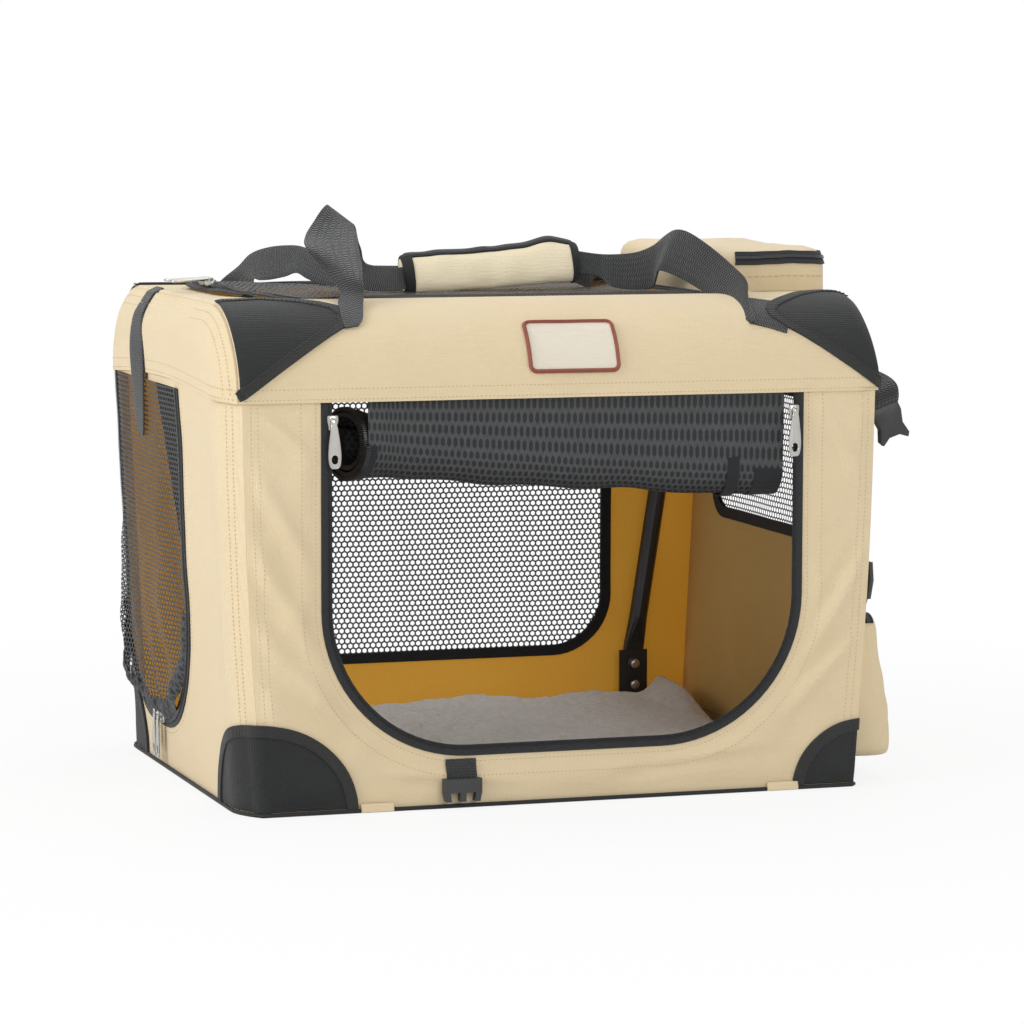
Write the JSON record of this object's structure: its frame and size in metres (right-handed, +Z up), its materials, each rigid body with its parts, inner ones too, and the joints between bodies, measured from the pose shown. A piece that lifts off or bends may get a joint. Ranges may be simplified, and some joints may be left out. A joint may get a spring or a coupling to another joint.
{
  "type": "soft folding pet crate",
  "caption": "Soft-sided folding pet crate with hinged steel hoops, zipped mesh doors, a rolled-up front door, pouches and a padded carry handle.",
  "frame": {"origin": "centre of the underside, on the surface that the crate stands on", "axes": "+Z up, the rolled-up front door faces -Y, +X along the crate towards the end with the side pouch"},
  "size_m": [0.5593, 0.4086, 0.4717],
  "materials": {
    "black_steel": "black powder coat, semi-gloss",
    "cream_fabric": "cream coated twill",
    "black_fabric": "black webbing and binding",
    "black_mesh": "black hexagonal net",
    "fleece": "white-grey fleece",
    "label_cloth": "off-white cloth, bare",
    "nickel": "nickel plate",
    "black_plastic": "moulded, satin"
  },
  "bodies": {
    "base": {"bottom_frame": "black_steel", "floor_panel": "cream_fabric", "fleece_mat": "fleece", "front_wall": "cream_fabric", "back_wall": "cream_fabric", "left_wall": "cream_fabric", "right_wall": "cream_fabric", "back_mesh": "black_mesh", "left_mesh": "black_mesh", "right_mesh": "black_mesh", "front_zip": "black_fabric", "left_zip": "black_fabric", "bottom_piping": "black_fabric", "bottom_patch_left_front": "black_fabric", "bottom_patch_left_back": "black_fabric", "bottom_patch_right_front": "black_fabric", "bottom_patch_right_back": "black_fabric", "hinge_bracket_left_front": "black_steel", "hinge_bracket_left_back": "black_steel", "hinge_bracket_right_front": "black_steel", "hinge_bracket_right_back": "black_steel", "side_pouch": "cream_fabric", "side_adjuster": "black_plastic"},
    "left_hoop": {"support_left": "black_steel"},
    "right_hoop": {"support_right": "black_steel"},
    "top": {"top_cover": "cream_fabric", "end_band_left": "cream_fabric", "end_band_right": "cream_fabric", "top_zip": "black_fabric", "top_mesh": "black_mesh", "top_patch_left_front": "black_fabric", "top_patch_left_back": "black_fabric", "top_patch_right_front": "black_fabric", "top_patch_right_back": "black_fabric", "label_patch": "label_cloth", "rolled_door": "black_mesh", "top_pouch": "cream_fabric", "handle_strap_left_front": "black_fabric", "handle_strap_left_back": "black_fabric", "handle_strap_right_front": "black_fabric", "handle_strap_right_back": "black_fabric"},
    "grip": {"hand_wrap": "cream_fabric"},
    "front_left_slider": {"front_slider_left": "nickel"},
    "front_left_pull": {"front_pull_left": "nickel"},
    "front_right_slider": {"front_slider_right": "nickel"},
    "front_right_pull": {"front_pull_right": "nickel"},
    "side_front_slider": {"left_slider_front": "nickel"},
    "side_front_pull": {"left_pull_front": "nickel"},
    "side_back_slider": {"left_slider_back": "nickel"},
    "side_back_pull": {"left_pull_back": "nickel"},
    "top_front_slider": {"top_slider_front": "nickel"},
    "top_back_slider": {"top_slider_back": "nickel"},
    "front_strap": {"closing_strap": "black_fabric", "male_buckle": "black_plastic"},
    "end_strap": {"buckle_tab": "black_fabric", "female_buckle": "black_plastic"},
    "door_ribbon": {"ribbon_strap": "black_fabric"}
  },
  "joints": [
    {"name": "top_drop", "type": "slide", "parent": "base", "child": "top", "axis": [0, 0, -1], "range_m": [0, 0.255], "deforming": ["front_wall", "back_wall", "left_wall", "right_wall", "back_mesh", "left_mesh", "right_mesh", "front_zip", "left_zip", "bottom_patch_left_front", "bottom_patch_left_back", "bottom_patch_right_front", "bottom_patch_right_back", "side_pouch", "rolled_door", "top_cover", "end_band_left", "end_band_right", "top_zip", "top_mesh", "top_patch_left_front", "top_patch_left_back", "top_patch_right_front", "top_patch_right_back", "label_patch", "top_pouch", "hand_wrap"]},
    {"name": "left_hoop_fold", "type": "hinge", "parent": "base", "child": "left_hoop", "pos_m": [-0.194, 0, 0.034], "axis": [0, 1, 0], "range_deg": [0, 98]},
    {"name": "right_hoop_fold", "type": "hinge", "parent": "base", "child": "right_hoop", "pos_m": [0.194, 0, 0.053], "axis": [0, -1, 0], "range_deg": [0, 98]},
    {"name": "grip_lift", "type": "slide", "parent": "top", "child": "grip", "axis": [0, 0, 1], "range_m": [0, 0.05], "deforming": ["handle_strap_left_front", "handle_strap_left_back", "handle_strap_right_front", "handle_strap_right_back"]},
    {"name": "front_left_slider_run", "type": "slide", "parent": "top", "child": "front_left_slider", "axis": [0, 0, 1], "range_m": [-0.12, 0]},
    {"name": "front_right_slider_run", "type": "slide", "parent": "top", "child": "front_right_slider", "axis": [0, 0, 1], "range_m": [-0.12, 0]},
    {"name": "front_left_pull_swing", "type": "hinge", "parent": "front_left_slider", "child": "front_left_pull", "pos_m": [-0.1925, -0.2026, 0.311], "axis": [1, 0, 0], "range_deg": [-80, 0]},
    {"name": "front_right_pull_swing", "type": "hinge", "parent": "front_right_slider", "child": "front_right_pull", "pos_m": [0.1925, -0.2026, 0.311], "axis": [1, 0, 0], "range_deg": [-80, 0]},
    {"name": "side_front_slider_run", "type": "slide", "parent": "base", "child": "side_front_slider", "axis": [0, 1, 0], "range_m": [-0.045, 0]},
    {"name": "side_back_slider_run", "type": "slide", "parent": "base", "child": "side_back_slider", "axis": [0, -1, 0], "range_m": [-0.045, 0]},
    {"name": "side_front_pull_swing", "type": "hinge", "parent": "side_front_slider", "child": "side_front_pull", "pos_m": [-0.25487, 0.05725, 0.04524], "axis": [0, -1, 0], "range_deg": [-80, 0]},
    {"name": "side_back_pull_swing", "type": "hinge", "parent": "side_back_slider", "child": "side_back_pull", "pos_m": [-0.25487, 0.07075, 0.04524], "axis": [0, -1, 0], "range_deg": [-80, 0]},
    {"name": "top_front_slider_run", "type": "slide", "parent": "top", "child": "top_front_slider", "axis": [0, 1, 0], "range_m": [-0.038, 0]},
    {"name": "top_back_slider_run", "type": "slide", "parent": "top", "child": "top_back_slider", "axis": [0, -1, 0], "range_m": [-0.038, 0]},
    {"name": "front_strap_swing", "type": "hinge", "parent": "base", "child": "front_strap", "pos_m": [-0.088, -0.1978, 0.038], "axis": [1, 0, 0], "range_deg": [-70, 0]},
    {"name": "end_strap_swing", "type": "hinge", "parent": "top", "child": "end_strap", "pos_m": [0.2676, -0.15, 0.346], "axis": [0, 1, 0], "range_deg": [-70, 0]},
    {"name": "ribbon_swing", "type": "hinge", "parent": "top", "child": "door_ribbon", "pos_m": [-0.27, 0.066, 0.388], "axis": [0, -1, 0], "range_deg": [-60, 0]}
  ],
  "couplings": [
    {"joint": "left_hoop_fold", "follows": "top_drop", "rad_per_m": 6.7},
    {"joint": "right_hoop_fold", "follows": "top_drop", "rad_per_m": 6.7}
  ]
}
